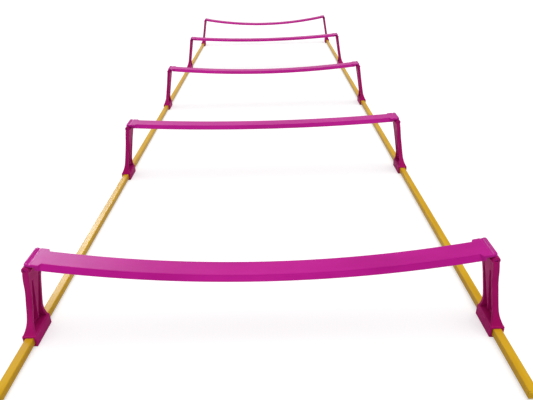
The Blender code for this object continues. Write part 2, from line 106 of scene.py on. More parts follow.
# Recess in the leg's inner face, with a wedge that leaves two tapering grooves beside it
RECESS_FLOOR_X = 0.0016
RECESS_TOP = 0.018
RECESS_FLANGE = 0.0040
RECESS_FLOOR = 0.0012
RECESS_RAMP = 0.0012
RECESS_LIP = 0.0003
GROOVE_TOP_WIDTH = 0.0030
WEDGE_TOP_WIDTH = 0.0150
WEDGE_TIP_HEIGHT = 0.007
WEDGE_TIP_SHARE = 0.04
WEDGE_END_REACH = 0.0015
WEDGE_END_LENGTH = 0.0018
WEDGE_RISE = 0.0010

# Stop at the leg's top, under the head
STOP_REACH = 0.0010
STOP_HEIGHT = 0.0045
STOP_ROOT = 0.0005
STOP_ROUND = 0.0004
STOP_SHOULDER = 0.0001
STOP_CHIN_SETBACK = 0.0002
STOP_CHIN_DROP = 0.0009
STOP_INSET = 0.0012

# Sleeve. Each step of its flared mouth is how far in from the rim it lies, and how much it widens a side.
SLEEVE_LENGTH = 0.042
SLEEVE_WALL = 0.0024
SLEEVE_SIDE_GAP = 0.0007
SLEEVE_ROUND = 0.0009
SLEEVE_CORNER = 0.0012
BORE_CORNER = 0.0006
MOUTH_STEPS = ((0, 0.0004), (0.0003, 0.0001), (0.0010, 0))

# Rail and plug. Each step of the plug's dome is its depth, how much smaller it is, and its corner.
RAIL_WIDTH = 0.0095
RAIL_HEIGHT = 0.0090
RAIL_WALL = 0.0013
RAIL_CORNER = 0.0011
RAIL_RIM = 0.0002
RAIL_BORE_CORNER = 0.0003
PLUG_FLANGE = 0.0020
PLUG_DEPTH = 0.012
PLUG_TAPER = 0.0012
PLUG_SHANK_CORNER = 0.0004
PLUG_DOME = ((0, 0.0065, 0.0006), (0.00006, 0.0035, 0.0009), (0.00020, 0.0017, RAIL_CORNER),
             (0.00045, 0.0007, RAIL_CORNER), (0.00080, 0, RAIL_CORNER))

# Fineness of the meshes
SLAT_STEPS = 44
SLAT_ROUND_STEPS = 6
SLAT_TOP_SHARES = (0, 0.30, 0.60, 0.80, 0.88, 0.92, 0.96, 1)
HEAD_SHOULDER_STEPS = 8
HEAD_FINE_REACH = 0.0024
FINE = 0.0002
DRAFT = 0.00012
SLIVER = 0.0001
RIM_SHARE = 0.3
LEG_TOP_DROPS = [0.0002, 0.0010, 0.0030]
LEG_FACE_SHARE = 0.6
LEG_NECK_PITCH = 0.002
LEG_PITCH = 0.0015
FOOT_FINE_REACH = 0.0100
FOOT_FINE_PITCH = 0.0004
RECESS_RAMP_STEPS = 6
CORNER_STEPS = 4
SLEEVE_ROUND_STEPS = 5
RAIL_STEPS = 40
RAIL_CORNER_STEPS = 6
KNUCKLE_SIDES = 48
PIN_SIDES = 28
WELD = 0.0000005
SMOOTH_BELOW = math.radians(34)
LARGE_FACE_WEIGHT = 80

# Derived sizes
LADDER_LENGTH = RAIL_NEAR_TAIL + SLEEVE_LENGTH + (len(END_TILTS) - 1) * RUNG_SPACING + RAIL_FAR_TAIL
FIRST_RUNG_Y = RAIL_NEAR_TAIL + SLEEVE_LENGTH / 2 - LADDER_LENGTH / 2
SLAT_HALF_DEPTH = SLAT_DEPTH / 2
SLAT_FOOT = HINGE_DROP - SLAT_HEIGHT
SLAT_CEILING = HINGE_DROP - SLAT_PLATE
SLAT_RIB_FOOT = SLAT_FOOT + SLAT_RIB_SETBACK
HEAD_HALF_DEPTH = LEG_WIDTH / 2 - HEAD_INSET
HEAD_SHOULDER_HALF_DEPTH = HEAD_SHOULDER_DEPTH / 2
HEAD_BEYOND_SLAT = HEAD_LENGTH - HINGE_END
CLEAR_RADIUS = KNUCKLE_RADIUS + GAP
BARREL_HALF = LEG_WIDTH / 2 - KNUCKLE_LENGTH - GAP
BORE_WIDTH = RAIL_WIDTH + 2 * SLEEVE_SIDE_GAP
BORE_HEIGHT = RAIL_HEIGHT + 2 * GAP
SLEEVE_WIDTH = BORE_WIDTH + 2 * SLEEVE_WALL
SLEEVE_HEIGHT = BORE_HEIGHT + 2 * SLEEVE_WALL
SLEEVE_TOP_DROP = HINGE_HEIGHT - SLEEVE_HEIGHT
SLEEVE_OFFSET = SLEEVE_TOP_DROP * math.tan(LEG_LEAN)
FLARE_DROP = SLEEVE_TOP_DROP - LEG_FLARE_HEIGHT
RECESS_FLOOR_DROP = SLEEVE_TOP_DROP - RECESS_FLOOR
WEDGE_TIP_DROP = RECESS_FLOOR_DROP - WEDGE_TIP_HEIGHT

# Plastics. A noise is its stretch, scale, detail and roughness, and a bump its strength and distance.
# A range is the part of a noise over which its effect grows from none to full.
MAGENTA = {"deep": (0.450, 0.0060, 0.235, 1), "base": (0.505, 0.0090, 0.268, 1),
           "light": (0.555, 0.0130, 0.300, 1), "worn": (0.640, 0.0900, 0.400, 1)}
DARK_MAGENTA = {"deep": (0.410, 0.0055, 0.138, 1), "base": (0.465, 0.0090, 0.165, 1),
                "light": (0.520, 0.0130, 0.192, 1), "worn": (0.590, 0.0850, 0.290, 1)}
YELLOW = {"deep": (0.560, 0.300, 0.0100, 1), "base": (0.640, 0.365, 0.0150, 1),
          "light": (0.700, 0.425, 0.0260, 1), "worn": (0.780, 0.540, 0.1200, 1)}
SHADE_STOPS = ((0.30, "deep"), (0.52, "base"), (0.74, "light"))
WEAR_ANGLE_RANGE = (0.90, 0.995)
WEAR_SAMPLES = 4
PATCH_RANGE = (0.3, 0.7)
STRETCHES = {"even": (1, 1, 1), "flow": (0.35, 1, 1), "bands": (1, 0.12, 1), "lines": (1, 0.012, 1)}
MOULDED = {"shades": ("flow", 28, 4, 0.55),
           "flecks": ("even", 900, 2, 0.6), "fleck_range": (0.60, 0.80), "fleck_amount": 0.22,
           "wear_radius": 0.0007, "scuffs": ("even", 160, 5, 0.65), "scuff_range": (0.42, 0.66),
           "wear_amount": 0.45, "patches": ("flow", 60, 3, 0.5),
           "swell": ("flow", 45, 2, 0.5), "swell_bump": (0.10, 0.0006),
           "grain_bump": (0.16, 0.00006)}
SATIN = MOULDED | {"grain": ("even", 2200, 2, 0.5), "roughness": (0.30, 0.38), "specular": 0.06}
MATT = MOULDED | {"grain": ("even", 1500, 2, 0.5), "roughness": (0.40, 0.50), "specular": 0.02}
DRAWN = {"shades": ("bands", 90, 4, 0.55),
         "flecks": ("lines", 1400, 3, 0.6), "fleck_range": (0.45, 0.75), "fleck_amount": 0.30,
         "wear_radius": 0.0006, "scuffs": ("even", 140, 5, 0.65), "scuff_range": (0.45, 0.62),
         "wear_amount": 0.5, "patches": ("bands", 120, 3, 0.5),
         "swell": ("lines", 900, 2, 0.5), "swell_bump": (0.07, 0.00008),
         "grain": ("even", 1500, 2, 0.5), "grain_bump": (0.012, 0.00005),
         "roughness": (0.24, 0.31), "specular": 0.026}

# Stage and light
WHITE = (1, 1, 1, 1)
FLOOR_REACH = 14
FLOOR_SEGMENTS = 8
FLOOR_DROP = 0.0002
FLOOR_COLOUR = (0.62, 0.62, 0.62, 1)
FLOOR_ROUGHNESS = 0.9
FLOOR_GLOW = 0.52
WORLD_STRENGTH = 0.50
WINDOW_PLACE = (-1.925, 2.959, 2.421)
WINDOW_AIM = (-0.26, -0.78, 0.01)
WINDOW_SIZE = 1.1
WINDOW_WATTS = 200
WINDOW_COLOUR = (0.76, 0.88, 1.0)
OVERHEAD_DIRECTION = (0.10, -0.12, 1)
OVERHEAD_SPREAD = math.radians(60)
OVERHEAD_STRENGTH = 1.70

# Camera, at the photograph's place and angle
CAMERA_PLACE = (0.015, -1.326, 0.4064)
CAMERA_YAW = math.radians(-0.734)
CAMERA_PITCH = math.radians(26.905)
CAMERA_ROLL = math.radians(-1.682)
CAMERA_SENSOR = 36
CAMERA_NEAREST = 0.01
FOCAL_PIXELS = 518.7
IMAGE_WIDTH_PIXELS = 533


# Mesh helpers

def new_object(name, data):
    """Put a mesh, light or camera in the scene as an object of this name."""
    made = bpy.data.objects.new(name, data)
    bpy.context.scene.collection.objects.link(made)
    return made


def add_band(work, low, high):
    """Join two rings of equally many vertices by a band of faces."""
    for index in range(len(low)):
        after = (index + 1) % len(low)
        work.faces.new((low[index], low[after], high[after], high[index]))


def ring_mesh(name, rings, looped=False):
    """Closed mesh through rings of equally many points, with a face at each end or looped to its start."""
    work = bmesh.new()
    made = [[work.verts.new(point) for point in ring] for ring in rings]
    for low, high in zip(made, made[1:]):
        add_band(work, low, high)
    if looped:
        add_band(work, made[-1], made[0])
    else:
        work.faces.new(made[0])
        work.faces.new(made[-1])
    bmesh.ops.remove_doubles(work, verts=work.verts, dist=WELD)
    bmesh.ops.dissolve_degenerate(work, edges=work.edges, dist=WELD)
    bmesh.ops.recalc_face_normals(work, faces=work.faces)
    mesh = bpy.data.meshes.new(name)
    work.to_mesh(mesh)
    work.free()
    return mesh


def lathe_mesh(name, profile, sides):
    """Closed mesh turned about the Y axis, from a profile of (y, radius) pairs."""
    rings = []
    for y, radius in profile:
        ring = []
        for index in range(sides):
            angle = 2 * math.pi * (index + 0.5) / sides
            ring.append((radius * math.cos(angle), y, radius * math.sin(angle)))
        rings.append(ring)
    return ring_mesh(name, rings)


def opposite(sections):
    """The same sections, which start with their Y, at the other end and in reverse order."""
    return [(-section[0], *section[1:]) for section in reversed(sections)]


def rod_mesh(name, half, radius, rim, sides):
    """Rod along Y about its own middle, with its rims eased."""
    reach, along, inward = rim
    near = [(-half, radius - reach), (-half + along, radius - inward), (-half + reach, radius)]
    return lathe_mesh(name, near + opposite(near), sides)


def combine(target, tool, operation):
    """Join or cut the target with a tool by an exact Boolean, and remove the tool."""
    modifier = target.modifiers.new(tool.name, "BOOLEAN")
    modifier.object = tool
    modifier.operation = operation
    modifier.solver = "EXACT"
    graph = bpy.context.evaluated_depsgraph_get()
    graph.update()
    mesh = bpy.data.meshes.new_from_object(target.evaluated_get(graph))
    target.modifiers.clear()
    target.data = mesh
    bpy.data.objects.remove(tool, do_unlink=True)


def bore(target, half, radius, sides, x=0):
    """Cut a round hole along Y through the target at this X."""
    tool = new_object("bore", lathe_mesh("bore", [(-half, radius), (half, radius)], sides))
    tool.location.x = x
    combine(target, tool, "DIFFERENCE")


def take_mesh(made):
    """Keep an object's mesh and remove the object."""
    mesh = made.data
    bpy.data.objects.remove(made, do_unlink=True)
    return mesh


def arc(centre, radius, start, end, steps):
    """Points of a circular arc in a plane, both ends included."""
    points = []
    for index in range(steps + 1):
        angle = start + (end - start) * index / steps
        points.append((centre[0] + radius * math.cos(angle), centre[1] + radius * math.sin(angle)))
    return points


def round_section(y, width, height, corner, steps):
    """Ring of a rectangle with round corners, about the Y axis at this Y."""
    points = []
    for quarter, (right, up) in enumerate(((1, 1), (-1, 1), (-1, -1), (1, -1))):
        centre = (right * (width / 2 - corner), up * (height / 2 - corner))
        points += arc(centre, corner, quarter * math.pi / 2, (quarter + 1) * math.pi / 2, steps)
    return [(x, y, z) for x, z in points]


def clamped(share):
    """The share held between 0 and 1."""
    return min(1, max(0, share))


def ease(share):
    """Smooth step from 0 to 1."""
    return (1 - math.cos(math.pi * clamped(share))) / 2


def paced(start, stop, pitch):
    """Places from the start, a pitch apart, that stay short of the stop."""
    places = []
    place = start
    while place < stop:
        places.append(place)
        place += pitch
    return places


# Crossbar

class Slat:
    """The sagged slat of one rung, with all its heights as functions of the distance along it."""

    def __init__(self, tilt):
        """Take the slat's length from its tilt, so that its hinges keep their span."""
        self.radius = (HINGE_SPAN / 2 - HEAD_BEYOND_SLAT * math.cos(tilt)) / math.sin(tilt)
        self.half = self.radius * tilt
        self.hinge = self.half + HEAD_BEYOND_SLAT
        self.end = self.half + HEAD_LENGTH
        pitch = (2 * self.half - SLAT_RIB) / (SLAT_RIB_COUNT + 1)
        self.ribs = [-self.half + index * pitch for index in range(SLAT_RIB_COUNT + 2)]

    def bent(self, along, height):
        """Where a point of the straight slat goes, in X and Z, when the slat sags into its arc."""
        inside = max(-self.half, min(self.half, along))
        angle = inside / self.radius
        beyond = along - inside
        x = (self.radius - height) * math.sin(angle) + beyond * math.cos(angle)
        z = self.radius - (self.radius - height) * math.cos(angle) + beyond * math.sin(angle)
        return x, z

    def half_depth(self, along):
        """Half depth along Y: slat, swelling shoulder, tapering head and round plan corners."""
        if along <= self.half:
            return SLAT_HALF_DEPTH
        shoulder = ease((along - self.half) / HEAD_SHOULDER)
        depth = SLAT_HALF_DEPTH + (HEAD_SHOULDER_HALF_DEPTH - SLAT_HALF_DEPTH) * shoulder
        taper = (along - self.half - HEAD_SHOULDER) / (HEAD_LENGTH - HEAD_SHOULDER - HEAD_CORNER)
        depth += (HEAD_HALF_DEPTH - HEAD_SHOULDER_HALF_DEPTH) * clamped(taper)
        past = along - (self.end - HEAD_CORNER)
        if past > 0:
            depth += math.sqrt(max(0, HEAD_CORNER ** 2 - past ** 2)) - HEAD_CORNER
        return depth

    def top(self, along, y):
        """Height of the upper face: flat, with a groove and a rolled bead across each head."""
        height = HINGE_DROP
        past = along - (self.end - SLAT_TOP_ROUND)
        if past > 0:
            height += math.sqrt(max(0, SLAT_TOP_ROUND ** 2 - past ** 2)) - SLAT_TOP_ROUND
        aside = along - (self.end - HEAD_GROOVE_INSET)
        if abs(aside) < HEAD_GROOVE_RADIUS:
            cut = HEAD_GROOVE_RADIUS - HEAD_GROOVE_DEPTH - math.sqrt(HEAD_GROOVE_RADIUS ** 2 - aside ** 2)
            height += min(0, cut)
        centre = self.end - HEAD_BEAD_RADIUS - GAP
        across = max(0, abs(y) - HEAD_BEAD_HALF + HEAD_BEAD_RADIUS)
        bead = HEAD_BEAD_RADIUS ** 2 - (along - centre) ** 2 - across ** 2
        if bead > 0:
            height = max(height, HINGE_DROP - HEAD_BEAD_SINK + math.sqrt(bead))
        return height

    def under(self, along):
        """Half width of the channel or barrel block, and the heights beside it and in it."""
        if along > self.half + HEAD_STEP:
            return BARREL_HALF, CLEAR_RADIUS, SLAT_FOOT
        channel = SLAT_HALF_DEPTH - SLAT_LIP
        if along > self.half - SLAT_RIB:
            return channel, SLAT_FOOT, SLAT_FOOT
        for low in self.ribs:
            if low < along < low + SLAT_RIB:
                return channel, SLAT_FOOT, SLAT_RIB_FOOT
        return channel, SLAT_FOOT, SLAT_CEILING

    def stations(self):
        """Distances along the slat where its section is drawn, closer together where its shape turns."""
        places = [-self.half + 2 * self.half * index / SLAT_STEPS for index in range(SLAT_STEPS + 1)]
        for low in self.ribs:
            for edge in (low, low + SLAT_RIB):
                places += [edge - DRAFT, edge + DRAFT]
        head = []
        for index in range(HEAD_SHOULDER_STEPS + 1):
            head.append(self.half + HEAD_SHOULDER * index / HEAD_SHOULDER_STEPS)
        head += [self.half + HEAD_STEP - DRAFT, self.half + HEAD_STEP + DRAFT]
        fine_start = self.end - HEAD_GROOVE_INSET - HEAD_FINE_REACH
        count = round((self.end - FINE - fine_start) / FINE)
        head += [fine_start + index * FINE for index in range(count + 1)]
        head += [self.end - FINE / 2, self.end - FINE / 8, self.end]
        places += head + [-place for place in head]
        places.sort()
        kept = [places[0]]
        for place in places[1:]:
            if place - kept[-1] > DRAFT / 2:
                kept.append(place)
        return kept

    def upper_half(self, reach, top_half, foot):
        """Half outline from the middle of the top to the lower end of its rounded edge."""
        flat = top_half - SLAT_TOP_ROUND
        half = [(flat * share, self.top(reach, flat * share)) for share in SLAT_TOP_SHARES]
        base = min(self.top(reach, top_half), HINGE_DROP)
        deep = max(SLIVER, min(SLAT_TOP_ROUND, base - foot - SLIVER))
        for step in range(1, SLAT_ROUND_STEPS + 1):
            angle = math.pi / 2 * step / SLAT_ROUND_STEPS
            y = flat + SLAT_TOP_ROUND * math.sin(angle)
            fall = deep * (1 - math.cos(angle))
            half.append((y, self.top(reach, y) - fall))
        return half

    def ring(self, along):
        """Closed outline of the section at this distance."""
        reach = abs(along)
        wide = self.half_depth(reach)
        draw = SLAT_FLANK_DRAW * (1 - ease((reach - self.half) / HEAD_SHOULDER))
        aside, foot, ceiling = self.under(along if reach < self.half else reach)
        half = self.upper_half(reach, wide - draw, foot)
        lift = min(SLAT_FOOT_ROUND, (half[-1][1] - foot) / 2)
        part = lift * RIM_SHARE
        half += [(wide, foot + lift), (wide - part, foot + part), (wide - lift, foot)]
        notch = max(-CHANNEL_CHAMFER, min(CHANNEL_CHAMFER, (ceiling - foot) / 2))
        half += [(aside + abs(notch), foot), (aside, foot + notch), (aside, ceiling - notch),
                 (aside - abs(notch), ceiling), (0, ceiling)]
        left = [(-y, z) for y, z in reversed(half[1:-1])]
        return [(along, y, z) for y, z in half + left]

    def mesh(self, name):
        """Mesh of the slat with its barrels, bored for the pins and sagged into its arc."""
        bar = new_object(name, ring_mesh(name, [self.ring(along) for along in self.stations()]))
        for sign in SIDES.values():
            barrel_mesh = rod_mesh("barrel", BARREL_HALF, KNUCKLE_RADIUS, BARREL_RIM, KNUCKLE_SIDES)
            barrel = new_object("barrel", barrel_mesh)
            barrel.location.x = sign * self.hinge
            combine(bar, barrel, "UNION")
            bore(bar, HEAD_HALF_DEPTH, PIN_RADIUS + GAP, PIN_SIDES, sign * self.hinge)
        mesh = take_mesh(bar)
        for vertex in mesh.vertices:
            vertex.co.x, vertex.co.z = self.bent(vertex.co.x, vertex.co.z)
        return mesh


# Leg

def leg_half_width(drop):
    """Half width of a leg along Y at a drop below the hinge."""
    top = LEG_WIDTH / 2
    waist = LEG_WAIST / 2
    foot = SLEEVE_LENGTH / 2 - FOOT_LEDGE
    flare = clamped((drop - FLARE_DROP) / LEG_FLARE_HEIGHT)
    neck = ease((drop - LEG_NECK_START) / (LEG_NECK_END - LEG_NECK_START))
    return top + (waist - top) * neck + (foot - waist) * flare ** 2


def leg_half_thickness(drop):
    """Half thickness of a leg along X at a drop below the hinge."""
    thin = LEG_THICKNESS / 2
    foot = SLEEVE_WIDTH / 2 - FOOT_LEDGE
    share = clamped((drop - SLEEVE_TOP_DROP + LEG_SIDE_FLARE_HEIGHT) / LEG_SIDE_FLARE_HEIGHT)
    return thin + (foot - thin) * share ** 2


def recess_edge(drop):
    """Half width of the recess at a drop below the hinge."""
    if drop > FLARE_DROP:
        return leg_half_width(drop) - RECESS_FLANGE
    start = WEDGE_TOP_WIDTH / 2 + GROOVE_TOP_WIDTH
    share = clamped((drop - RECESS_TOP) / (FLARE_DROP - RECESS_TOP))
    return start + (leg_half_width(FLARE_DROP) - RECESS_FLANGE - start) * share


def leg_ring(drop):
    """Closed outline of a leg's section: a flat outer face, and a recess with a wedge in the inner one."""
    width = leg_half_width(drop)
    thick = leg_half_thickness(drop)
    opening = ease((drop - RECESS_TOP) / RECESS_RAMP)
    closing = ease((drop - RECESS_FLOOR_DROP + RECESS_RAMP / 2) / RECESS_RAMP)
    depth = opening * (1 - closing)
    bed = -thick + (RECESS_FLOOR_X + thick) * depth
    edge = recess_edge(drop)
    narrow = (WEDGE_TIP_DROP - drop) / (WEDGE_TIP_DROP - RECESS_TOP)
    wedge = WEDGE_TOP_WIDTH / 2 * min(1, max(WEDGE_TIP_SHARE, narrow))
    crest = -thick + (bed + thick) * ease((drop - WEDGE_TIP_DROP + WEDGE_END_REACH) / WEDGE_END_LENGTH)
    rise = ease((bed - crest) / WEDGE_RISE)
    inside = width - LEG_CORNER
    lip = RECESS_LIP
    half = [(thick, 0), (thick, inside * LEG_FACE_SHARE), (thick, inside)]
    half += arc((thick - LEG_CORNER, inside), LEG_CORNER, 0, math.pi / 2, CORNER_STEPS)[1:]
    half += arc((-thick + LEG_CORNER, inside), LEG_CORNER, math.pi / 2, math.pi, CORNER_STEPS)
    half += [(-thick, edge + lip), (-thick + lip * depth, edge), (bed - lip * depth, edge - lip),
             (bed, edge - 2 * lip)]
    half += [(bed, wedge + 2 * lip), (bed - lip * rise, wedge + lip), (crest + lip * rise, wedge),
             (crest, max(wedge - lip, SLIVER)), (crest, 0)]
    left = [(x, -y) for x, y in reversed(half[1:-1])]
    shear = math.tan(LEG_LEAN) * drop
    return [(x + shear, y, -drop) for x, y in half + left]


def leg_drops():
    """Drops below the hinge where a leg's section is drawn."""
    drops = LEG_TOP_DROPS + paced(LEG_NECK_START, RECESS_TOP, LEG_NECK_PITCH)
    for index in range(RECESS_RAMP_STEPS + 1):
        drops.append(RECESS_TOP + RECESS_RAMP * index / RECESS_RAMP_STEPS)
    fine_start = RECESS_FLOOR_DROP - FOOT_FINE_REACH
    drops += paced(RECESS_TOP + 2 * LEG_PITCH, fine_start - FOOT_FINE_PITCH, LEG_PITCH)
    drops += paced(fine_start, SLEEVE_TOP_DROP + LEG_SINK, FOOT_FINE_PITCH)
    return drops


def stop_mesh():
    """Mesh of the stop that the head's underside meets, before it is tilted to the steepest head."""
    top = SLAT_FOOT - GAP
    low = top - STOP_HEIGHT
    reach = CLEAR_RADIUS + STOP_REACH
    outline = [(STOP_ROOT, top), (-reach + STOP_ROUND, top), (-reach + STOP_SHOULDER, top - STOP_SHOULDER),
               (-reach, top - STOP_ROUND), (-reach + STOP_CHIN_SETBACK, top - STOP_CHIN_DROP),
               (-LEG_THICKNESS / 2 + STOP_ROUND, low), (STOP_ROOT, low)]
    half = LEG_WIDTH / 2 - STOP_INSET
    return ring_mesh("stop", [[(x, y, z) for x, z in outline] for y in (-half, half)])


def sleeve_mesh():
    """Mesh of the sleeve with rounded rims, bored from end to end, with its middle at the origin."""
    half = SLEEVE_LENGTH / 2
    outer = []
    for step in range(SLEEVE_ROUND_STEPS + 1):
        angle = math.pi / 2 * step / SLEEVE_ROUND_STEPS
        y = half - SLEEVE_ROUND * (1 - math.sin(angle))
        shrink = 2 * SLEEVE_ROUND * (1 - math.cos(angle))
        outer.append((y, SLEEVE_WIDTH - shrink, SLEEVE_HEIGHT - shrink, SLEEVE_CORNER))
    inner = []
    for inset, grow in MOUTH_STEPS:
        inner.append((half - inset, BORE_WIDTH + 2 * grow, BORE_HEIGHT + 2 * grow, BORE_CORNER))
    sections = opposite(outer) + outer + inner + opposite(inner)
    rings = [round_section(*section, CORNER_STEPS) for section in sections]
    return ring_mesh("sleeve", rings, looped=True)


def leg_mesh():
    """Mesh of a right leg, with the hinge line through its origin and its inner face towards -X."""
    leg = new_object("leg", ring_mesh("leg", [leg_ring(drop) for drop in leg_drops()]))
    knuckles = rod_mesh("knuckles", LEG_WIDTH / 2, KNUCKLE_RADIUS, KNUCKLE_RIM, KNUCKLE_SIDES)
    combine(leg, new_object("knuckles", knuckles), "UNION")
    stop = new_object("stop", stop_mesh())
    stop.matrix_world = Matrix.Rotation(-max(END_TILTS), 4, "Y")
    combine(leg, stop, "UNION")
    bore(leg, BARREL_HALF + GAP, CLEAR_RADIUS, KNUCKLE_SIDES)
    bore(leg, LEG_WIDTH, PIN_RADIUS + GAP, PIN_SIDES)
    sleeve = new_object("sleeve", sleeve_mesh())
    sleeve.location = (SLEEVE_OFFSET, 0, SLEEVE_HEIGHT / 2 - HINGE_HEIGHT)
    combine(leg, sleeve, "UNION")
    return take_mesh(leg)


# Rail, plug and pin

def rail_mesh(length):
    """Mesh of a square tube of this length along Y, open at both ends, with broken rims."""
    half = length / 2
    rim = (RAIL_WIDTH - 2 * RAIL_RIM, RAIL_HEIGHT - 2 * RAIL_RIM, RAIL_CORNER)
    hollow = (RAIL_WIDTH - 2 * RAIL_WALL, RAIL_HEIGHT - 2 * RAIL_WALL, RAIL_BORE_CORNER)
    sections = [(-half, *rim)]
    for index in range(RAIL_STEPS + 1):
        y = (-half + RAIL_RIM) + (length - 2 * RAIL_RIM) * index / RAIL_STEPS
        sections.append((y, RAIL_WIDTH, RAIL_HEIGHT, RAIL_CORNER))
    sections += [(half, *rim), (half, *hollow), (-half, *hollow)]
    rings = [round_section(*section, RAIL_CORNER_STEPS) for section in sections]
    return ring_mesh("rail", rings, looped=True)


def plug_mesh():
    """Mesh of a near plug: a slightly domed flange with its outer face at y = 0 and a shank towards +Y."""
    across = RAIL_WIDTH - 2 * RAIL_WALL - 2 * GAP
    up = RAIL_HEIGHT - 2 * RAIL_WALL - 2 * GAP
    end = PLUG_FLANGE + PLUG_DEPTH
    sections = []
    for depth, smaller, corner in PLUG_DOME:
        sections.append((depth, RAIL_WIDTH - smaller, RAIL_HEIGHT - smaller, corner))
    sections += [(PLUG_FLANGE - RAIL_RIM, RAIL_WIDTH, RAIL_HEIGHT, RAIL_CORNER),
                 (PLUG_FLANGE, RAIL_WIDTH - 2 * RAIL_RIM, RAIL_HEIGHT - 2 * RAIL_RIM, RAIL_CORNER),
                 (PLUG_FLANGE, across, up, PLUG_SHANK_CORNER),
                 (end - PLUG_TAPER, across, up, PLUG_SHANK_CORNER),
                 (end, across - PLUG_TAPER, up - PLUG_TAPER, PLUG_SHANK_CORNER)]
    return ring_mesh("plug", [round_section(*section, RAIL_CORNER_STEPS) for section in sections])


def pin_mesh():
    """Mesh of a hinge pin with chamfered ends, about its own middle."""
    return rod_mesh("pin", LEG_WIDTH / 2 - PIN_INSET, PIN_RADIUS, PIN_RIM, PIN_SIDES)


# Materials

def shader_tree(name):
    """New node material: returns it, its node tree and its Principled BSDF node."""
    material = bpy.data.materials.new(name)
    material.use_nodes = True
    tree = material.node_tree
    return material, tree, tree.nodes["Principled BSDF"]


def node(tree, kind, sockets=None, **settings):
    """Add a node, with its settings and, by name, the values or sources of its sockets."""
    made = tree.nodes.new(kind)
    for key, value in settings.items():
        setattr(made, key, value)
    for socket, value in (sockets or {}).items():
        feed(tree, made.inputs[socket], value)
    return made


def feed(tree, socket, value):
    """Link a socket to another node's output, or set its value."""
    if isinstance(value, bpy.types.NodeSocket):
        tree.links.new(value, socket)
    else:
        socket.default_value = value


def spread_coordinates(tree, stretch):
    """Object coordinates stretched per axis and shifted by a number of each object's own."""
    coordinates = node(tree, "ShaderNodeTexCoord")
    info = node(tree, "ShaderNodeObjectInfo")
    shift = node(tree, "ShaderNodeVectorMath", {0: coordinates.outputs["Object"],
                                                1: info.outputs["Random"]}, operation="ADD")
    mapping = node(tree, "ShaderNodeMapping", {"Vector": shift.outputs[0], "Scale": stretch})
    return mapping.outputs["Vector"]


def noise(tree, stretch, scale, detail, roughness):
    """Noise texture on stretched coordinates: returns its 0 to 1 output."""
    made = node(tree, "ShaderNodeTexNoise", {"Vector": spread_coordinates(tree, STRETCHES[stretch]),
                                             "Scale": scale, "Detail": detail, "Roughness": roughness})
    return made.outputs["Fac"]


def ramp(tree, value, stops):
    """Colour ramp from a value: stops are (position, colour)."""
    made = node(tree, "ShaderNodeValToRGB", {"Fac": value})
    elements = made.color_ramp.elements
    while len(elements) < len(stops):
        elements.new(0.5)
    for element, (position, colour) in zip(elements, stops):
        element.position = position
        element.color = colour
    return made.outputs["Color"]


def mapped(tree, value, low, high, start=0.0, end=1.0):
    """Map a value from the range start to end onto low to high."""
    made = node(tree, "ShaderNodeMapRange", {"Value": value, "From Min": start, "From Max": end,
                                             "To Min": low, "To Max": high})
    return made.outputs["Result"]


def mix_colour(tree, share, first, second):
    """Mix two colours, each a socket or a value, by a share: 6, 7 and 2 are the node's colour sockets."""
    made = node(tree, "ShaderNodeMix", data_type="RGBA")
    for socket, value in ((0, share), (6, first), (7, second)):
        feed(tree, made.inputs[socket], value)
    return made.outputs[2]


def add_bump(tree, height, strength_and_distance, normal=None):
    """Bump node from a height, over another bump's normal where there is one: returns its normal."""
    strength, distance = strength_and_distance
    made = node(tree, "ShaderNodeBump", {"Height": height, "Strength": strength, "Distance": distance})
    if normal is not None:
        tree.links.new(normal, made.inputs["Normal"])
    return made.outputs["Normal"]


def edge_wear(tree, radius):
    """Nearly 0 on flat faces and up to 1 on edges, from the angle between the bevelled and true normals."""
    bevel = node(tree, "ShaderNodeBevel", {"Radius": radius}, samples=WEAR_SAMPLES)
    geometry = node(tree, "ShaderNodeNewGeometry")
    dot = node(tree, "ShaderNodeVectorMath", {0: bevel.outputs["Normal"], 1: geometry.outputs["Normal"]},
               operation="DOT_PRODUCT")
    return mapped(tree, dot.outputs["Value"], 1.0, 0.0, *WEAR_ANGLE_RANGE)


def plastic_colour(tree, colours, finish):
    """Uneven shades with paler flecks, and paler still where edges are worn and scuffed."""
    stops = [(position, colours[tone]) for position, tone in SHADE_STOPS]
    base = ramp(tree, noise(tree, *finish["shades"]), stops)
    flecks = noise(tree, *finish["flecks"])
    share = mapped(tree, flecks, 0.0, finish["fleck_amount"], *finish["fleck_range"])
    base = mix_colour(tree, share, base, colours["light"])
    scuffs = mapped(tree, noise(tree, *finish["scuffs"]), 0.0, 1.0, *finish["scuff_range"])
    worn = node(tree, "ShaderNodeMath", {0: edge_wear(tree, finish["wear_radius"]), 1: scuffs},
                operation="MULTIPLY", use_clamp=True)
    share = mapped(tree, worn.outputs[0], 0.0, finish["wear_amount"])
    return mix_colour(tree, share, base, colours["worn"])


def plastic(name, colours, finish):
    """Plastic of these colours, with patches of unlike gloss, a low swell and a fine grain."""
    material, tree, shader = shader_tree(name)
    patches = mapped(tree, noise(tree, *finish["patches"]), *finish["roughness"], *PATCH_RANGE)
    normal = add_bump(tree, noise(tree, *finish["swell"]), finish["swell_bump"])
    normal = add_bump(tree, noise(tree, *finish["grain"]), finish["grain_bump"], normal)
    feed(tree, shader.inputs["Base Color"], plastic_colour(tree, colours, finish))
    feed(tree, shader.inputs["Roughness"], patches)
    feed(tree, shader.inputs["Normal"], normal)
    shader.inputs["Specular IOR Level"].default_value = finish["specular"]
    return material


def satin_magenta():
    """Satin moulded plastic of the crossbars and pins, with slight flow shades along their length."""
    return plastic("magenta_moulded", MAGENTA, SATIN)


def matt_magenta():
    """Matter moulded plastic of the legs, darker and redder, with a coarser grain."""
    return plastic("magenta_moulded_matt", DARK_MAGENTA, MATT)


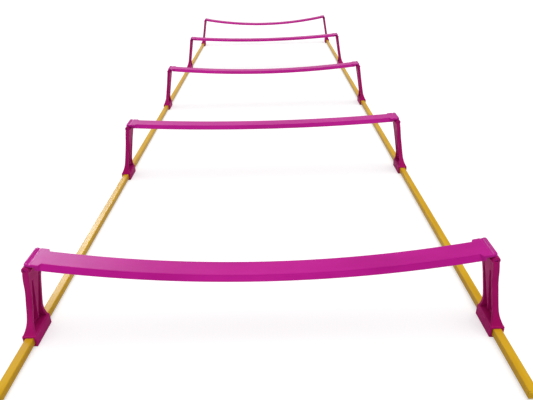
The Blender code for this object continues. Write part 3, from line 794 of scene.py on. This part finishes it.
def drawn_yellow():
    """Drawn plastic of the rails and plugs, with fine draw lines and faint bands along Y."""
    return plastic("yellow_drawn", YELLOW, DRAWN)


# Pieces

def finished(mesh, material):
    """Give a mesh its material, and shade its round stretches smooth and its corners sharp."""
    mesh.materials.append(material)
    mesh.shade_smooth()
    mesh.set_sharp_from_angle(angle=SMOOTH_BELOW)
    return mesh


def add_piece(node_name, mesh, body, location, turn=0):
    """Place a piece over its CAD node, on its body, with normals led by its large faces."""
    piece = new_object(node_name + "_fine", mesh)
    piece.location = location
    piece.rotation_euler.z = turn
    weighted = piece.modifiers.new("weighted_normals", "WEIGHTED_NORMAL")
    weighted.keep_sharp = True
    weighted.weight = LARGE_FACE_WEIGHT
    bpy.context.view_layer.update()
    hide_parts(node_name)
    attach(piece, body)


def build_rungs(bar_plastic, leg_plastic):
    """Every rung: its crossbar, legs and hinge pins."""
    leg = finished(leg_mesh(), leg_plastic)
    pin = finished(pin_mesh(), bar_plastic)
    for index, tilt in enumerate(END_TILTS):
        number = index + 1
        y = FIRST_RUNG_Y + index * RUNG_SPACING
        slat = Slat(tilt)
        rise = slat.bent(slat.hinge, 0)[1]
        name = f"crossbar_{number}"
        bar = finished(slat.mesh(name), bar_plastic)
        add_piece(name, bar, f"rung_{number}", (0, y, HINGE_HEIGHT - rise))
        for side, sign in SIDES.items():
            hinge = (sign * HINGE_SPAN / 2, y, HINGE_HEIGHT)
            turn = 0 if sign > 0 else math.pi
            body = f"{side}_side" if number == ROOT_RUNG else f"{side}_foot_{number}"
            add_piece(f"{side}_leg_{number}", leg, body, hinge, turn)
            add_piece(f"{side}_hinge_pin_{number}", pin, f"rung_{number}", hinge)


def build_rails(rail_plastic):
    """The rail of each side with a plug in each end."""
    rail = finished(rail_mesh(LADDER_LENGTH - 2 * (PLUG_FLANGE + GAP)), rail_plastic)
    plug = finished(plug_mesh(), rail_plastic)
    height = SLEEVE_WALL + GAP + RAIL_HEIGHT / 2
    for side, sign in SIDES.items():
        x = sign * (HINGE_SPAN / 2 + SLEEVE_OFFSET)
        body = f"{side}_side"
        near = (x, -LADDER_LENGTH / 2, height)
        far = (x, LADDER_LENGTH / 2, height)
        add_piece(f"{side}_rail", rail, body, (x, 0, height))
        add_piece(f"{side}_rail_near_plug", plug, body, near)
        add_piece(f"{side}_rail_far_plug", plug, body, far, math.pi)


# Stage, light and camera

def background_rays(tree):
    """1 for rays that show the white background, from the camera, off gloss or through glass, else 0."""
    path = node(tree, "ShaderNodeLightPath")
    shown = path.outputs["Is Camera Ray"]
    for kind in ("Is Glossy Ray", "Is Transmission Ray"):
        either = node(tree, "ShaderNodeMath", {0: shown, 1: path.outputs[kind]}, operation="MAXIMUM")
        shown = either.outputs[0]
    return shown


def build_floor():
    """Plain pale floor, seen as near white, that keeps the object's soft shadow."""
    work = bmesh.new()
    bmesh.ops.create_grid(work, x_segments=FLOOR_SEGMENTS, y_segments=FLOOR_SEGMENTS, size=FLOOR_REACH)
    mesh = bpy.data.meshes.new("floor")
    work.to_mesh(mesh)
    work.free()
    floor = new_object("floor", mesh)
    floor.location.z = -FLOOR_DROP
    material, tree, shader = shader_tree("pale_floor")
    shader.inputs["Base Color"].default_value = FLOOR_COLOUR
    shader.inputs["Roughness"].default_value = FLOOR_ROUGHNESS
    shader.inputs["Specular IOR Level"].default_value = 0.0
    strength = mapped(tree, background_rays(tree), 0.0, FLOOR_GLOW)
    glow = node(tree, "ShaderNodeEmission", {"Color": WHITE, "Strength": strength})
    both = node(tree, "ShaderNodeAddShader", {0: shader.outputs[0], 1: glow.outputs[0]})
    tree.links.new(both.outputs[0], tree.nodes["Material Output"].inputs["Surface"])
    mesh.materials.append(material)


def add_light(name, kind, direction):
    """New light that shines from this direction."""
    light = new_object(name, bpy.data.lights.new(name, kind))
    light.rotation_euler = direction.to_track_quat("Z", "Y").to_euler()
    return light


def build_window():
    """Window behind the ladder on the left, seen in gloss alone: the sheen of the bars and left rail."""
    window = add_light("back_left_window", "AREA", Vector(WINDOW_PLACE) - Vector(WINDOW_AIM))
    window.location = WINDOW_PLACE
    window.visible_diffuse = False
    window.data.shape = "SQUARE"
    window.data.size = WINDOW_SIZE
    window.data.energy = WINDOW_WATTS
    window.data.color = WINDOW_COLOUR


def build_overhead():
    """Broad soft light from above."""
    overhead = add_light("overhead", "SUN", Vector(OVERHEAD_DIRECTION))
    overhead.data.angle = OVERHEAD_SPREAD
    overhead.data.energy = OVERHEAD_STRENGTH


def build_world():
    """White surroundings that light the object at a plain level."""
    world = bpy.data.worlds.new("studio")
    world.use_nodes = True
    bpy.context.scene.world = world
    tree = world.node_tree
    background = tree.nodes["Background"]
    feed(tree, background.inputs["Color"], WHITE)
    feed(tree, background.inputs["Strength"], mapped(tree, background_rays(tree), WORLD_STRENGTH, 1.0))


def build_camera():
    """Camera at the photograph's place and angle."""
    level = math.cos(CAMERA_PITCH)
    forward = Vector((math.sin(CAMERA_YAW) * level, math.cos(CAMERA_YAW) * level, -math.sin(CAMERA_PITCH)))
    right = Vector((math.cos(CAMERA_YAW), -math.sin(CAMERA_YAW), 0))
    up = right.cross(forward)
    rolled_right = math.cos(CAMERA_ROLL) * right + math.sin(CAMERA_ROLL) * up
    rolled_up = -math.sin(CAMERA_ROLL) * right + math.cos(CAMERA_ROLL) * up
    turn = Matrix((rolled_right, rolled_up, -forward)).transposed().to_4x4()
    data = bpy.data.cameras.new("camera")
    data.sensor_fit = "HORIZONTAL"
    data.sensor_width = CAMERA_SENSOR
    data.lens = FOCAL_PIXELS * CAMERA_SENSOR / IMAGE_WIDTH_PIXELS
    data.clip_start = CAMERA_NEAREST
    camera = new_object("camera", data)
    camera.matrix_world = Matrix.Translation(CAMERA_PLACE) @ turn
    bpy.context.scene.camera = camera


bpy.context.scene.view_settings.view_transform = "Standard"
build_camera()
build_rungs(satin_magenta(), matt_magenta())
build_rails(drawn_yellow())
build_floor()
build_world()
build_window()
build_overhead()
